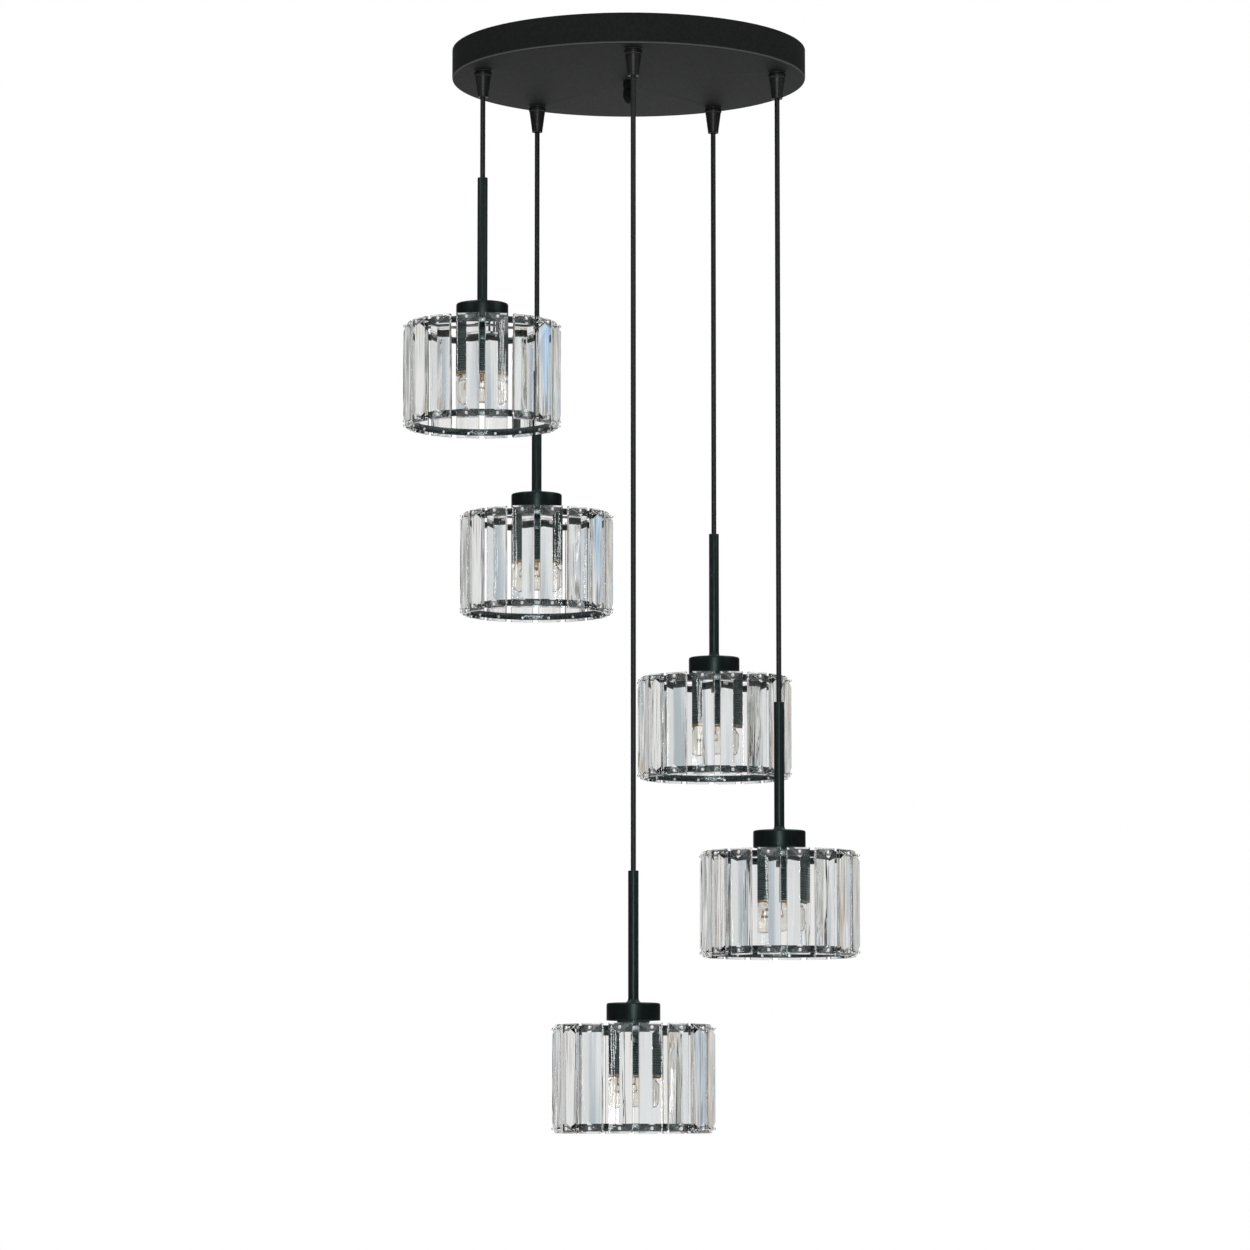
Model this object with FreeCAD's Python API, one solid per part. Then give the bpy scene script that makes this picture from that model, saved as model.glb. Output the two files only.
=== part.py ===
import FreeCAD, Part
import math
import os

from FreeCAD import Vector

# A cluster pendant: a round canopy against the ceiling, and five crystal shades that hang from it on cords
# of different lengths. Millimetres. The origin is the middle of the canopy's top, in the plane of the
# ceiling. +Z is up, and the lamp's front is towards -Y.

# ---------------------------------------------------------------- sizes: canopy
CANOPY_DIAMETER = 350.0
CANOPY_DEPTH = 30.0
CANOPY_SHEET = 1.2
CANOPY_CHAMFER = 1.5
GRIP_FROM_EDGE = 23.0             # from the canopy's side to the middle of each grip
FIRST_GRIP_ANGLE = 198.0          # degrees about Z from +X; the next grips follow clockwise, seen from above

# ---------------------------------------------------------------- sizes: ceiling bracket and its stud
STRAP_END = 8.0                   # from a slot's end to the strap's end
STRAP_WIDTH = 25.0
STRAP_THICKNESS = 2.5
SLOT_SPACING = 120.0
SLOT_LENGTH = 24.0
SLOT_WIDTH = 5.5
STUD_DIAMETER = 8.0
STUD_REACH = 10.0                 # how far the stud stands out below the canopy
STUD_NUT_WIDTH = 13.0
STUD_NUT_HEIGHT = 6.5
CAP_NUT_WIDTH = 12.4
CAP_NUT_COLLAR = 7.0              # height of its hexagonal collar
CAP_NUT_NECK = 1.6
CAP_NUT_BODY = 8.0
CAP_NUT_TIP = 6.0

# ---------------------------------------------------------------- sizes: cord grips
GRIP_STUB_DIAMETER = 9.8          # the threaded stub that goes up through the canopy
GRIP_STUB_SPARE = 3.0             # thread left standing above the nut
GRIP_COLLAR_DIAMETER = 17.0
GRIP_COLLAR_HEIGHT = 5.0
GRIP_TAPER_HEIGHT = 20.5
GRIP_LIP_HEIGHT = 1.5
GRIP_END_DIAMETER = 10.6
GRIP_LIP_CHAMFER = 0.7
GRIP_NUT_WIDTH = 14.0
GRIP_NUT_HEIGHT = 4.0

# ---------------------------------------------------------------- sizes: cords and terminal block
CORD_DIAMETER = 5.0
FREE_CORDS = (80.0, 245.0, 410.0, 595.0, 765.0)   # from each grip's mouth to the top of the stem
CORD_IN_STEM = 6.0
PIVOT_ABOVE_MOUTH = 2.0           # where the cord bends when the shade swings
TAIL_BEND = 12.0                  # bend of the cord's inner end, at its middle line
TAIL_ABOVE_STUB = 0.5             # where the bend starts
BLOCK_LENGTH = 36.0
BLOCK_DEPTH = 18.0
BLOCK_HEIGHT = 13.0
BLOCK_STEP = 3.5                  # the block's narrower lower part, on each side
BLOCK_Y = -29.0

# ---------------------------------------------------------------- sizes: stem and cap
STEM_DIAMETER = 10.0
STEM_WALL = 1.0
STEM_LENGTH = 125.0               # what shows above the cap
STEM_IN_HOLDER = 7.5
STEM_FLARE_DIAMETER = 15.0
STEM_FLARE_HEIGHT = 2.4
CAP_DIAMETER = 51.0
CAP_HEIGHT = 16.5
CAP_WALL = 1.0
CAP_CHAMFER = 0.8

# ---------------------------------------------------------------- sizes: lampholder, bulb and their nut
HOLDER_HEAD_DIAMETER = 31.0
HOLDER_THREAD_DIAMETER = 28.0
HOLDER_BELOW_CAP = 53.0
SOCKET_DEPTH = 26.0
SHELL_WALL = 0.6
SHELL_FROM_MOUTH = 3.0
SHADE_NUT_DIAMETER = 32.4
SHADE_NUT_HEIGHT = 13.5
BULB_BASE_DIAMETER = 13.9
BULB_TIP_DIAMETER = 6.0
BULB_TIP_HEIGHT = 1.8
BULB_NECK = 1.0                   # glass neck that shows below the lampholder
BULB_DIAMETER = 22.0
BULB_SHOULDER = 6.0
BULB_BODY = 13.0
BULB_DOME = 8.5

# ---------------------------------------------------------------- sizes: crystal shade
CRYSTALS = 16
CRYSTAL_LENGTH = 102.0
CRYSTAL_WIDTH = 22.4
CRYSTAL_THICKNESS = 8.2           # at the ridge along the crystal's middle
CRYSTAL_EDGE = 3.2                # thickness left along the crystal's edges
CRYSTAL_END_BEVEL = 10.2          # from an end of the crystal to the ridge's end
CRYSTALS_BELOW_CAP = 4.0
BAND_RADIUS = 70.0                # from the shade's axis to the flats that the crystals lie on
BAND_HEIGHT = 6.5
BAND_SHEET = 1.5
BAND_INSET = 2.2                  # from a crystal's end to the band's edge
SPIDER_ARMS = 4
SPIDER_ARM_WIDTH = 8.0
SPIDER_HUB_WIDTH = 6.0

# ---------------------------------------------------------------- clearances
RUNNING_GAP = 0.3                 # between pieces that move on each other
FIT_GAP = 0.15                    # between pieces that are slipped over each other

# ---------------------------------------------------------------- flats that stand for a round
CANOPY_SIDE_COUNT = 96
CAP_SIDE_COUNT = 24
HOLDER_SIDE_COUNT = 20
BULB_SIDE_COUNT = 16
SMALL_SIDE_COUNT = 12
TAIL_SIDE_COUNT = 8
TAIL_STEP_COUNT = 4               # straight steps in a cord's right-angled bend

# ---------------------------------------------------------------- places and levels in the lamp's frame
GRIP_CIRCLE_RADIUS = CANOPY_DIAMETER / 2 - GRIP_FROM_EDGE
STRAP_LENGTH = SLOT_SPACING + SLOT_LENGTH + 2 * STRAP_END
UNDERSIDE = -CANOPY_DEPTH
PLATE_TOP = UNDERSIDE + CANOPY_SHEET
STRAP_BOTTOM = -STRAP_THICKNESS
GRIP_MOUTH = UNDERSIDE - GRIP_COLLAR_HEIGHT - GRIP_TAPER_HEIGHT - GRIP_LIP_HEIGHT
GRIP_TOP = PLATE_TOP + GRIP_NUT_HEIGHT + GRIP_STUB_SPARE
PIVOT = GRIP_MOUTH + PIVOT_ABOVE_MOUTH
TAIL_LEVEL = GRIP_TOP + TAIL_ABOVE_STUB + TAIL_BEND

# ---------------------------------------------------------------- levels in a pendant's frame, from its cap's rim
CAP_CEILING = CAP_HEIGHT - CAP_WALL
STEM_BOTTOM = CAP_CEILING - STEM_IN_HOLDER
STEM_TOP = CAP_HEIGHT + STEM_LENGTH
CRYSTAL_TOP = -CRYSTALS_BELOW_CAP
CRYSTAL_BOTTOM = CRYSTAL_TOP - CRYSTAL_LENGTH
TOP_BAND_TOP = CRYSTAL_TOP - BAND_INSET
BOTTOM_BAND_TOP = CRYSTAL_BOTTOM + BAND_INSET + BAND_HEIGHT
SPIDER_UNDERSIDE = TOP_BAND_TOP - BAND_SHEET
HOLDER_MOUTH = -HOLDER_BELOW_CAP
SOCKET_FLOOR = HOLDER_MOUTH + SOCKET_DEPTH
SHELL_FLOOR = SOCKET_FLOOR - SHELL_WALL


def clear_radius(radius, gap, flats):
    """Corner radius of a hole with that many flats, whose flats clear a shaft by the gap."""
    return (radius + gap) / math.cos(math.pi / flats)


CORD_RADIUS = CORD_DIAMETER / 2
CORD_HOLE = clear_radius(CORD_RADIUS, RUNNING_GAP, SMALL_SIDE_COUNT)
STUD_HOLE = clear_radius(STUD_DIAMETER / 2, FIT_GAP, SMALL_SIDE_COUNT)
STUB_HOLE = clear_radius(GRIP_STUB_DIAMETER / 2, FIT_GAP, SMALL_SIDE_COUNT)
STEM_HOLE_IN_CAP = clear_radius(STEM_DIAMETER / 2, FIT_GAP, CAP_SIDE_COUNT)
STEM_HOLE_IN_HOLDER = clear_radius(STEM_DIAMETER / 2, FIT_GAP, HOLDER_SIDE_COUNT)
SHELL_BORE = clear_radius(BULB_BASE_DIAMETER / 2, RUNNING_GAP, SMALL_SIDE_COUNT)
SHELL_RADIUS = SHELL_BORE + SHELL_WALL
SOCKET_BORE = clear_radius(SHELL_RADIUS, FIT_GAP, HOLDER_SIDE_COUNT)
THREAD_HOLE = HOLDER_THREAD_DIAMETER / 2 + FIT_GAP
BAND_INNER_RADIUS = BAND_RADIUS - BAND_SHEET


# ---------------------------------------------------------------- ways of making solids
def face(corners):
    """Flat face through the corners; a corner that repeats the one before it is left out."""
    kept = [c for i, c in enumerate(corners) if c.distanceToPoint(corners[i - 1]) > 1e-7]
    if len(kept) < 3:
        return None
    return Part.Face(Part.makePolygon(kept + kept[:1]))


def solid_of(faces):
    """Closed solid from flat faces that meet along their edges."""
    shell = Part.makeShell([f for f in faces if f])
    shell.sewShape()
    solid = Part.makeSolid(shell)
    if solid.Volume < 0:
        solid.reverse()
    return solid.removeSplitter()


def skin(loops, ring=False):
    """Solid whose faces join each loop of corners to the next; a ring also joins the last to the first."""
    pairs = list(zip(loops, loops[1:]))
    ends = [face(loops[0]), face(loops[-1])]
    if ring:
        pairs.append((loops[-1], loops[0]))
        ends = []
    sides = [
        face([low[i - 1], low[i], high[i], high[i - 1]])
        for low, high in pairs
        for i in range(len(low))
    ]
    return solid_of(sides + ends)


def corner_loop(radius, z, flats):
    """Corners of a regular polygon about the Z axis."""
    step = 2 * math.pi / flats
    return [Vector(radius * math.cos(i * step), radius * math.sin(i * step), z) for i in range(flats)]


def turned(outline, flats, ring=False):
    """Turned piece with that many flats, from (radius, z) corners of half its section."""
    return skin([corner_loop(r, z, flats) for r, z in outline], ring)


def bore(corner_radius, low, high, x=0.0, y=0.0):
    """Cutter for a hole that a small round piece goes through."""
    return moved(turned([(corner_radius, low), (corner_radius, high)], SMALL_SIDE_COUNT), x, y, 0)


def cylinder(radius, low, high, x=0.0, y=0.0):
    return Part.makeCylinder(radius, high - low, Vector(x, y, low), Vector(0, 0, 1))


def hexagon(flats_across, low, high, hole_radius):
    """Hexagonal nut; hole_radius is to its hole's corners."""
    corner = flats_across / 2 / math.cos(math.pi / 6)
    nut = turned([(corner, low), (corner, high)], 6)
    return nut.cut(bore(hole_radius, low - 1, high + 1))


def moved(shape, x, y, z):
    copy = shape.copy()
    copy.translate(Vector(x, y, z))
    return copy


def spun(shape, degrees):
    copy = shape.copy()
    copy.rotate(Vector(0, 0, 0), Vector(0, 0, 1), degrees)
    return copy


def save(name, *solids):
    """Write one sub-part; several solids make a group of like pieces."""
    shape = solids[0] if len(solids) == 1 else Part.makeCompound(list(solids))
    whole = all(s.isValid() and s.Volume > 0 for s in solids)
    print(f"{name:20} {len(solids):3} solid(s) {shape.Volume:12.1f} mm3 {'ok' if whole else 'NOT VALID'}")
    shape.exportStep(f"parts/{name}.step")


# ---------------------------------------------------------------- canopy and what is inside it
def grip_places():
    """Where the five cords come through the canopy, as (x, y), from the shortest cord to the longest."""
    step = 360.0 / len(FREE_CORDS)
    angles = [math.radians(FIRST_GRIP_ANGLE - i * step) for i in range(len(FREE_CORDS))]
    return [(GRIP_CIRCLE_RADIUS * math.cos(a), GRIP_CIRCLE_RADIUS * math.sin(a)) for a in angles]


def canopy():
    """Round pan of sheet steel, open at the ceiling, with a hole for each grip and for the stud."""
    outer = CANOPY_DIAMETER / 2
    inner = outer - CANOPY_SHEET
    pan = turned([
        (0, UNDERSIDE),
        (outer - CANOPY_CHAMFER, UNDERSIDE),
        (outer, UNDERSIDE + CANOPY_CHAMFER),
        (outer, 0),
        (inner, 0),
        (inner, PLATE_TOP),
        (0, PLATE_TOP),
    ], CANOPY_SIDE_COUNT)
    holes = [bore(STUB_HOLE, UNDERSIDE - 1, PLATE_TOP + 1, x, y) for x, y in grip_places()]
    holes.append(bore(STUD_HOLE, UNDERSIDE - 1, PLATE_TOP + 1))
    return pan.cut(Part.makeCompound(holes))


def slot(y):
    """Cutter for a screw slot that runs along Y."""
    radius = SLOT_WIDTH / 2
    half = SLOT_LENGTH / 2 - radius
    low, high = STRAP_BOTTOM - 1, 1.0
    bar = Part.makeBox(SLOT_WIDTH, 2 * half, high - low, Vector(-radius, y - half, low))
    return bar.fuse([cylinder(radius, low, high, 0, y - half), cylinder(radius, low, high, 0, y + half)])


def ceiling_bracket():
    """Flat strap that is screwed to the ceiling through its two slots."""
    corner = Vector(-STRAP_WIDTH / 2, -STRAP_LENGTH / 2, STRAP_BOTTOM)
    strap = Part.makeBox(STRAP_WIDTH, STRAP_LENGTH, STRAP_THICKNESS, corner)
    return strap.cut([slot(-SLOT_SPACING / 2), slot(SLOT_SPACING / 2)])


def bracket_stud():
    """Threaded stud, welded under the strap, that the canopy is hung on."""
    radius = STUD_DIAMETER / 2
    return turned([(radius, UNDERSIDE - STUD_REACH), (radius, STRAP_BOTTOM)], SMALL_SIDE_COUNT)


def stud_nut():
    return hexagon(STUD_NUT_WIDTH, STRAP_BOTTOM - STUD_NUT_HEIGHT, STRAP_BOTTOM, STUD_HOLE)


def canopy_nut():
    """Pointed cap nut below the canopy: a hexagonal collar, a neck, and a domed hexagonal body."""
    wide = CAP_NUT_WIDTH / 2
    neck = wide * 0.8
    collar_end = UNDERSIDE - CAP_NUT_COLLAR
    body_start = collar_end - CAP_NUT_NECK
    body_end = body_start - CAP_NUT_BODY
    tip = body_end - CAP_NUT_TIP
    nut = turned([
        (wide, UNDERSIDE),
        (wide, collar_end),
        (neck, collar_end),
        (neck, body_start),
        (wide, body_start),
        (wide, body_end),
        (wide * 0.72, (body_end * 2 + tip) / 3),
        (wide * 0.2, tip),
    ], 6)
    running_hole = clear_radius(STUD_DIAMETER / 2, RUNNING_GAP, SMALL_SIDE_COUNT)
    return nut.cut(bore(running_hole, UNDERSIDE - STUD_REACH - 1, UNDERSIDE + 1))


def cord_grip():
    """Tapered cord grip: threaded stub, collar, long taper and lip, with a bore that flares at its mouth."""
    stub = GRIP_STUB_DIAMETER / 2
    collar = GRIP_COLLAR_DIAMETER / 2
    end = GRIP_END_DIAMETER / 2
    collar_end = UNDERSIDE - GRIP_COLLAR_HEIGHT
    taper_end = collar_end - GRIP_TAPER_HEIGHT
    return turned([
        (stub, GRIP_TOP),
        (stub, UNDERSIDE),
        (collar, UNDERSIDE),
        (collar, collar_end),
        (end, taper_end),
        (end, GRIP_MOUTH + GRIP_LIP_CHAMFER),
        (end - GRIP_LIP_CHAMFER, GRIP_MOUTH),
        (CORD_HOLE + 2 * RUNNING_GAP, GRIP_MOUTH),
        (CORD_HOLE, PIVOT),
        (CORD_HOLE, GRIP_TOP),
    ], SMALL_SIDE_COUNT, ring=True)


def grip_nut():
    return hexagon(GRIP_NUT_WIDTH, PLATE_TOP, PLATE_TOP + GRIP_NUT_HEIGHT, STUB_HOLE)


def terminal_block():
    """Stepped block under the strap, where the five cords are joined."""
    half = BLOCK_DEPTH / 2
    low = STRAP_BOTTOM - BLOCK_HEIGHT
    section = [
        (-half, STRAP_BOTTOM),
        (half, STRAP_BOTTOM),
        (half, low + BLOCK_STEP),
        (half - BLOCK_STEP, low + BLOCK_STEP),
        (half - BLOCK_STEP, low),
        (BLOCK_STEP - half, low),
        (BLOCK_STEP - half, low + BLOCK_STEP),
        (-half, low + BLOCK_STEP),
    ]
    corners = [Vector(-BLOCK_LENGTH / 2, BLOCK_Y + y, z) for y, z in section]
    return face(corners).extrude(Vector(BLOCK_LENGTH, 0, 0))


def tail_target(x, y):
    """Point inside the terminal block that a cord's inner end is led to."""
    if y > 0:
        return math.copysign(BLOCK_LENGTH / 4, x), BLOCK_Y
    return math.copysign(BLOCK_LENGTH / 4, x) if abs(x) > BLOCK_LENGTH else 0.0, BLOCK_Y


def cord_tail(x, y, block):
    """Inner end of a cord: up through the grip, round one bend, and level to the terminal block."""
    tx, ty = tail_target(x, y)
    inward = Vector(tx - x, ty - y, 0)
    run = inward.Length
    inward.normalize()
    across = Vector(-inward.y, inward.x, 0)
    up = Vector(0, 0, 1)
    start = PIVOT + CORD_RADIUS + RUNNING_GAP
    bend_start = TAIL_LEVEL - TAIL_BEND
    stations = [(Vector(x, y, start), 0.0)]
    for i in range(TAIL_STEP_COUNT + 1):
        turn = math.pi / 2 * i / TAIL_STEP_COUNT
        in_by = TAIL_BEND * (1 - math.cos(turn))
        place = Vector(x, y, bend_start + TAIL_BEND * math.sin(turn)) + inward * in_by
        stations.append((place, turn))
    stations.append((Vector(x, y, TAIL_LEVEL) + inward * run, math.pi / 2))
    loops = []
    for place, turn in stations:
        outward = up * math.sin(turn) - inward * math.cos(turn)
        ring = []
        for i in range(TAIL_SIDE_COUNT):
            a = 2 * math.pi * (i + 0.5) / TAIL_SIDE_COUNT
            ring.append(place + outward * (CORD_RADIUS * math.cos(a)) + across * (CORD_RADIUS * math.sin(a)))
        loops.append(ring)
    return skin(loops).cut(block)


# ---------------------------------------------------------------- the free cord of each pendant
def free_cord(length):
    """Straight cord from its bend in the grip, with a rounded top there, to just inside the stem."""
    bottom = GRIP_MOUTH - length - CORD_IN_STEM
    return turned([
        (CORD_RADIUS * 0.4, PIVOT + CORD_RADIUS * 0.9),
        (CORD_RADIUS * 0.7, PIVOT + CORD_RADIUS * 0.7),
        (CORD_RADIUS, PIVOT),
        (CORD_RADIUS, bottom),
    ], SMALL_SIDE_COUNT)


# ---------------------------------------------------------------- stem, cap and lampholder, from the cap's rim
def stem():
    """Tube with a flared foot on the cap and a top that is drawn in round the cord."""
    outer = STEM_DIAMETER / 2
    return turned([
        (outer, STEM_TOP),
        (outer, CAP_HEIGHT + STEM_FLARE_HEIGHT),
        (STEM_FLARE_DIAMETER / 2, CAP_HEIGHT),
        (outer, CAP_HEIGHT),
        (outer, STEM_BOTTOM),
        (outer - STEM_WALL, STEM_BOTTOM),
        (outer - STEM_WALL, STEM_TOP - CORD_IN_STEM - STEM_WALL),
        (CORD_HOLE, STEM_TOP - CORD_IN_STEM),
        (CORD_HOLE, STEM_TOP),
    ], SMALL_SIDE_COUNT, ring=True)


def cap():
    """Shallow pressed cup over the top of the lampholder."""
    outer = CAP_DIAMETER / 2
    return turned([
        (outer, 0),
        (outer, CAP_HEIGHT - CAP_CHAMFER),
        (outer - CAP_CHAMFER, CAP_HEIGHT),
        (STEM_HOLE_IN_CAP, CAP_HEIGHT),
        (STEM_HOLE_IN_CAP, CAP_CEILING),
        (outer - CAP_WALL, CAP_CEILING),
        (outer - CAP_WALL, 0),
    ], CAP_SIDE_COUNT, ring=True)


def lampholder():
    """Moulded holder: a head that the stem is screwed into, a shoulder for the shade, and the thread below."""
    head = HOLDER_HEAD_DIAMETER / 2
    thread = HOLDER_THREAD_DIAMETER / 2
    return turned([
        (0, STEM_BOTTOM),
        (STEM_HOLE_IN_HOLDER, STEM_BOTTOM),
        (STEM_HOLE_IN_HOLDER, CAP_CEILING),
        (head, CAP_CEILING),
        (head, TOP_BAND_TOP),
        (thread, TOP_BAND_TOP),
        (thread, HOLDER_MOUTH),
        (SOCKET_BORE, HOLDER_MOUTH),
        (SOCKET_BORE, SOCKET_FLOOR),
        (0, SOCKET_FLOOR),
    ], HOLDER_SIDE_COUNT)


def socket_shell():
    """Brass screw shell inside the lampholder, closed above by the middle contact."""
    mouth = HOLDER_MOUTH + SHELL_FROM_MOUTH
    return turned([
        (0, SOCKET_FLOOR),
        (SHELL_RADIUS, SOCKET_FLOOR),
        (SHELL_RADIUS, mouth),
        (SHELL_BORE, mouth),
        (SHELL_BORE, SHELL_FLOOR),
        (0, SHELL_FLOOR),
    ], SMALL_SIDE_COUNT)


def shade_nut():
    """Ring nut on the lampholder's thread that holds the shade up against the shoulder."""
    outer = SHADE_NUT_DIAMETER / 2
    low = SPIDER_UNDERSIDE - SHADE_NUT_HEIGHT
    return turned([
        (outer, SPIDER_UNDERSIDE),
        (outer, low),
        (THREAD_HOLE, low),
        (THREAD_HOLE, SPIDER_UNDERSIDE),
    ], HOLDER_SIDE_COUNT, ring=True)


def bulb():
    """Clear capsule bulb on a small screw base."""
    base = BULB_BASE_DIAMETER / 2
    glass = BULB_DIAMETER / 2
    top = SHELL_FLOOR - RUNNING_GAP
    neck = HOLDER_MOUTH - BULB_NECK
    body_top = neck - BULB_SHOULDER
    body_end = body_top - BULB_BODY
    return turned([
        (BULB_TIP_DIAMETER / 2, top),
        (base, top - BULB_TIP_HEIGHT),
        (base, neck),
        (glass, body_top),
        (glass, body_end),
        (glass * 0.82, body_end - BULB_DOME * 0.55),
        (glass * 0.35, body_end - BULB_DOME),
    ], BULB_SIDE_COUNT)


# ---------------------------------------------------------------- crystal shade, from the cap's rim
def band(top):
    """Band bent into flats, one behind each crystal."""
    half_turn = math.pi / CRYSTALS
    outer = BAND_RADIUS / math.cos(half_turn)
    inner = BAND_INNER_RADIUS / math.cos(half_turn)
    low = top - BAND_HEIGHT
    corners = ((outer, top), (outer, low), (inner, low), (inner, top))
    return turned(corners, CRYSTALS, ring=True)


def top_ring():
    """Upper band with a spider: four flat arms out from a hub that is clamped on the lampholder."""
    hub_radius = THREAD_HOLE + SPIDER_HUB_WIDTH
    hub = turned([(hub_radius, TOP_BAND_TOP), (hub_radius, SPIDER_UNDERSIDE)], HOLDER_SIDE_COUNT)
    reach = BAND_INNER_RADIUS / math.cos(math.pi / CRYSTALS) + BAND_SHEET / 3
    corner = Vector(0, -SPIDER_ARM_WIDTH / 2, SPIDER_UNDERSIDE)
    arm = Part.makeBox(reach, SPIDER_ARM_WIDTH, BAND_SHEET, corner)
    pitch = 360.0 / SPIDER_ARMS
    arms = [spun(arm, pitch * i) for i in range(SPIDER_ARMS)]
    hole = turned([(THREAD_HOLE, TOP_BAND_TOP + 1), (THREAD_HOLE, SPIDER_UNDERSIDE - 1)], HOLDER_SIDE_COUNT)
    return band(TOP_BAND_TOP).fuse([hub] + arms).cut(hole).removeSplitter()


def bottom_ring():
    return band(BOTTOM_BAND_TOP)


def crystal():
    """Glass bar with its flat back on the bands; in front, two long bevels meet in a ridge with hipped ends."""
    middle = (CRYSTAL_TOP + CRYSTAL_BOTTOM) / 2
    half_width = CRYSTAL_WIDTH / 2
    half_length = CRYSTAL_LENGTH / 2
    outlines = (
        (BAND_RADIUS, half_width, half_length),
        (BAND_RADIUS + CRYSTAL_EDGE, half_width, half_length),
        (BAND_RADIUS + CRYSTAL_THICKNESS, 0.0, half_length - CRYSTAL_END_BEVEL),
    )
    signs = ((-1, -1), (1, -1), (1, 1), (-1, 1))
    return skin([[Vector(out, s * w, middle + t * h) for s, t in signs] for out, w, h in outlines])


def crystals():
    pitch = 360.0 / CRYSTALS
    return [spun(crystal(), pitch * (i + 0.5)) for i in range(CRYSTALS)]


# ---------------------------------------------------------------- the whole lamp
def main():
    os.makedirs("parts", exist_ok=True)
    places = grip_places()
    block = terminal_block()
    grip, lock_nut = cord_grip(), grip_nut()
    save("canopy", canopy())
    save("ceiling_bracket", ceiling_bracket())
    save("bracket_stud", bracket_stud())
    save("stud_nut", stud_nut())
    save("canopy_nut", canopy_nut())
    save("cord_grips", *[moved(grip, x, y, 0) for x, y in places])
    save("grip_nuts", *[moved(lock_nut, x, y, 0) for x, y in places])
    save("terminal_block", block)
    save("cord_tails", *[cord_tail(x, y, block) for x, y in places])

    shade = {
        "stem": [stem()],
        "cap": [cap()],
        "lampholder": [lampholder()],
        "socket_shell": [socket_shell()],
        "shade_nut": [shade_nut()],
        "bulb": [bulb()],
        "top_ring": [top_ring()],
        "bottom_ring": [bottom_ring()],
        "crystals": crystals(),
    }
    for number, ((x, y), length) in enumerate(zip(places, FREE_CORDS), start=1):
        save(f"cord_{number}", moved(free_cord(length), x, y, 0))
        rim = GRIP_MOUTH - length - STEM_TOP
        for name, solids in shade.items():
            save(f"{name}_{number}", *[moved(s, x, y, rim) for s in solids])


main()
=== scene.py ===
import math

import bmesh
import bpy
from mathutils import Matrix, Vector

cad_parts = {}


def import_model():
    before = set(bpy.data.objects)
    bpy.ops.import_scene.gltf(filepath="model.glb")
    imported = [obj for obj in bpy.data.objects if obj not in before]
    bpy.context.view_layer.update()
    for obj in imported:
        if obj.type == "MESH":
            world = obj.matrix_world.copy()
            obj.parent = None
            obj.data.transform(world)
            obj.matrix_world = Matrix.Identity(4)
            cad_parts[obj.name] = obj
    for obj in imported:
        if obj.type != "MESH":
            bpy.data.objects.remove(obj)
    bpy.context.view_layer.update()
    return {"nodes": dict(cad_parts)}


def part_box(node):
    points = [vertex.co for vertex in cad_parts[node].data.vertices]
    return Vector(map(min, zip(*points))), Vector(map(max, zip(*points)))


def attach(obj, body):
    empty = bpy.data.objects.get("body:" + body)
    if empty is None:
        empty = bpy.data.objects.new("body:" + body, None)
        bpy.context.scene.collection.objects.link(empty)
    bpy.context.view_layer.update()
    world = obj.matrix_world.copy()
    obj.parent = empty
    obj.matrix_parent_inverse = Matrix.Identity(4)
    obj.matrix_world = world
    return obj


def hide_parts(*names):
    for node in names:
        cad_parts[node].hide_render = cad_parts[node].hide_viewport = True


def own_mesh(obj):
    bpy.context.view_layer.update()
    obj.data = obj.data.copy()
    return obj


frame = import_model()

MM = 0.001
PENDANTS = range(1, 6)

# ------------------------------------------------------------ sizes in millimetres, as the solids have them
CANOPY_RADIUS, CANOPY_DEPTH, CANOPY_SHEET, STUD_HOLE = 175.0, 30.0, 1.2, 4.3
GRIP_MOUTH, PIVOT = -57.0, -55.0
CORD_DIAMETER, CORD_IN_STEM = 5.0, 6.0
FREE_CORDS = (80.0, 245.0, 410.0, 595.0, 765.0)
STEM_TOP, STEM_BOTTOM = 141.5, 8.0
CAP_HEIGHT = 16.5
BAND_RADIUS, BAND_HEIGHT, BAND_SHEET = 70.0, 6.5, 1.5
TOP_BAND, BOTTOM_BAND = -6.2, -97.3
CRYSTALS, CRYSTAL_TOP, CRYSTAL_BOTTOM = 16, -4.0, -106.0
CRYSTAL_WIDTH, CRYSTAL_EDGE, CRYSTAL_THICKNESS, END_BEVEL = 22.4, 3.2, 8.2, 10.2
PIN_FROM_END, PIN_HEAD, PIN_SHANK, PIN_HOLE = 4.2, 1.7, 0.6, 0.95
STRAP_HALF_WIDTH, STRAP_HALF_LENGTH, STRAP_THICKNESS = 12.5, 80.0, 2.5
SLOT_PLACE, SLOT_RADIUS, SLOT_REACH = 60.0, 2.75, 9.25
BLOCK_Y, BLOCK_HALF_LENGTH, BLOCK_HALF_DEPTH = -29.0, 18.0, 9.0
BLOCK_WAY_IN = 9.0


# ------------------------------------------------------------ meshes
def placed(name, data):
    """New object in the scene that shows the data."""
    obj = bpy.data.objects.new(name, data)
    bpy.context.collection.objects.link(obj)
    return obj


def mesh_from(name, bm):
    mesh = bpy.data.meshes.new(name)
    bm.to_mesh(mesh)
    bm.free()
    return mesh


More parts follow.
